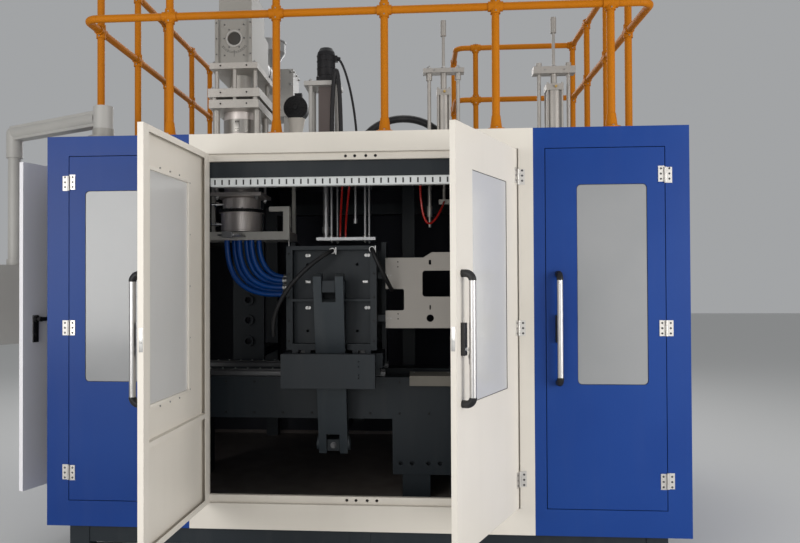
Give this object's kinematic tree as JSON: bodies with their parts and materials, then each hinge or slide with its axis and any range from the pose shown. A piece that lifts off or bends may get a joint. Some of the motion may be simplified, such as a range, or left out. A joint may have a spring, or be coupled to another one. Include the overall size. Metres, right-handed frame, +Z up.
{
  "type": "blow moulding machine",
  "caption": "Shuttle blow moulding machine: blue and white enclosure with hinged doors, clamp carriage with a rocker lever, die head and cylinders on the roof, tubular guard rail.",
  "frame": {"origin": "centre of the four floor anchor holes, on the floor", "axes": "+X to the right seen from the front doors, +Y towards the back, +Z up"},
  "size_m": [4.0626, 3.4514, 3.457],
  "materials": {
    "blue_paint": "satin",
    "cream_paint": "satin",
    "frame_paint": "satin",
    "grey_paint": "satin",
    "orange_paint": "satin",
    "tray_paint": "satin",
    "steel": "brushed",
    "chrome": "polished",
    "cast": "cast",
    "black_plastic": "matte",
    "white_plastic": "matte",
    "pane": "translucent",
    "hose_black": "matte",
    "hose_colour": "gloss"
  },
  "bodies": {
    "machine": {"base_frame": "frame_paint", "floor_tray": "tray_paint", "bed_frame": "frame_paint", "carriage_rails": "steel", "portal_frame": "frame_paint", "left_front_panel": "blue_paint", "left_side_panel": "blue_paint", "right_front_panel": "blue_paint", "right_side_panel": "blue_paint", "rear_panels": "blue_paint", "centre_front_panel": "cream_paint", "roof_deck": "steel", "cable_duct": "white_plastic", "guard_posts": "orange_paint", "guard_rails": "orange_paint", "hinge_leaves": "steel", "arm_pedestal": "grey_paint", "head_box": "grey_paint", "head_plates": "cast", "die_body": "cast", "parison_cutter": "steel", "extruder_barrel": "steel", "extruder_drive": "grey_paint", "hopper": "steel", "cooling_blower": "black_plastic", "blow_unit_frame": "grey_paint", "blow_servo": "black_plastic", "deflash_cylinder": "cast", "ejector_cylinder": "cast", "takeout_tray": "cream_paint", "roof_hoses": "hose_black", "water_hoses": "hose_colour", "air_hoses": "hose_colour"},
    "left_white_door": {"left_white_door": "cream_paint", "left_white_window": "pane", "left_white_handle": "cast"},
    "right_white_door": {"right_white_door": "cream_paint", "right_white_window": "pane", "right_white_handle": "cast"},
    "left_blue_door": {"left_blue_door": "blue_paint", "left_blue_window": "pane", "left_blue_handle": "cast"},
    "right_blue_door": {"right_blue_door": "blue_paint", "right_blue_window": "pane", "right_blue_handle": "cast"},
    "side_door": {"side_door": "cream_paint"},
    "side_door_lever": {"side_door_lever": "black_plastic"},
    "control_arm": {"control_arm": "grey_paint"},
    "control_panel": {"control_panel": "grey_paint"},
    "carriage": {"carriage": "frame_paint", "platen_slideways": "steel"},
    "front_platen": {"front_platen": "frame_paint", "mask_plate": "cream_paint", "platen_hoses": "hose_black"},
    "rear_platen": {"rear_platen": "frame_paint"},
    "rocker_lever": {"rocker_lever": "frame_paint"},
    "blow_pin": {"blow_pin": "chrome"},
    "deflash_crosshead": {"deflash_crosshead": "cast"},
    "ejector_crosshead": {"ejector_crosshead": "cast"},
    "cutter_knife": {"cutter_knife": "steel"}
  },
  "joints": [
    {"name": "left_white_door_hinge", "type": "hinge", "parent": "machine", "child": "left_white_door", "pos_m": [-0.846, -1.3065, 1.285], "axis": [0, 0, -1], "range_deg": [-93.2, 12]},
    {"name": "right_white_door_hinge", "type": "hinge", "parent": "machine", "child": "right_white_door", "pos_m": [0.846, -1.3065, 1.285], "axis": [0, 0, 1], "range_deg": [-65, 40]},
    {"name": "left_blue_door_hinge", "type": "hinge", "parent": "machine", "child": "left_blue_door", "pos_m": [-1.601, -1.3065, 1.285], "axis": [0, 0, -1], "range_deg": [0, 100]},
    {"name": "right_blue_door_hinge", "type": "hinge", "parent": "machine", "child": "right_blue_door", "pos_m": [1.601, -1.3065, 1.285], "axis": [0, 0, 1], "range_deg": [0, 100]},
    {"name": "side_door_hinge", "type": "hinge", "parent": "machine", "child": "side_door", "pos_m": [-1.7315, -0.404, 1.285], "axis": [0, 0, -1], "range_deg": [-18, 14]},
    {"name": "side_door_lever_turn", "type": "hinge", "parent": "side_door", "child": "side_door_lever", "pos_m": [-1.94658, -1.06594, 1.322], "axis": [-0.9511, 0.309, 0], "range_deg": [0, 40], "stiffness_Nm_per_rad": 3, "springref_deg": -20.05},
    {"name": "control_arm_swing", "type": "hinge", "parent": "machine", "child": "control_arm", "pos_m": [-1.45, -1.2, 2.459], "axis": [0, 0, 1], "range_deg": [-6, 70]},
    {"name": "control_panel_swivel", "type": "hinge", "parent": "control_arm", "child": "control_panel", "pos_m": [-2.18665, -0.81325, 1.68], "axis": [0, 0, 1], "range_deg": [-60, 60]},
    {"name": "carriage_shuttle", "type": "slide", "parent": "machine", "child": "carriage", "axis": [1, 0, 0], "range_m": [-0.64, 0]},
    {"name": "clamp_close", "type": "slide", "parent": "carriage", "child": "front_platen", "axis": [0, 1, 0], "range_m": [0, 0.2216]},
    {"name": "rear_platen_slide", "type": "slide", "parent": "carriage", "child": "rear_platen", "axis": [0, 1, 0], "range_m": [-0.2217, 0]},
    {"name": "rocker_lever_pivot", "type": "hinge", "parent": "carriage", "child": "rocker_lever", "pos_m": [-0.198, -0.86, 1.025], "axis": [-1, 0, 0], "range_deg": [0, 26]},
    {"name": "blow_pin_stroke", "type": "slide", "parent": "machine", "child": "blow_pin", "axis": [0, 0, 1], "range_m": [-0.045, 0.12], "deforming": ["air_hoses"]},
    {"name": "deflash_stroke", "type": "slide", "parent": "machine", "child": "deflash_crosshead", "axis": [0, 0, 1], "range_m": [-0.09, 0.1]},
    {"name": "ejector_stroke", "type": "slide", "parent": "machine", "child": "ejector_crosshead", "axis": [0, 0, 1], "range_m": [-0.055, 0.1]},
    {"name": "parison_knife_stroke", "type": "slide", "parent": "machine", "child": "cutter_knife", "axis": [0, 1, 0], "range_m": [0, 0.14]}
  ],
  "couplings": [
    {"joint": "rear_platen_slide", "follows": "clamp_close", "ratio": -1},
    {"joint": "rocker_lever_pivot", "follows": "clamp_close", "rad_per_m": 2.0475}
  ]
}
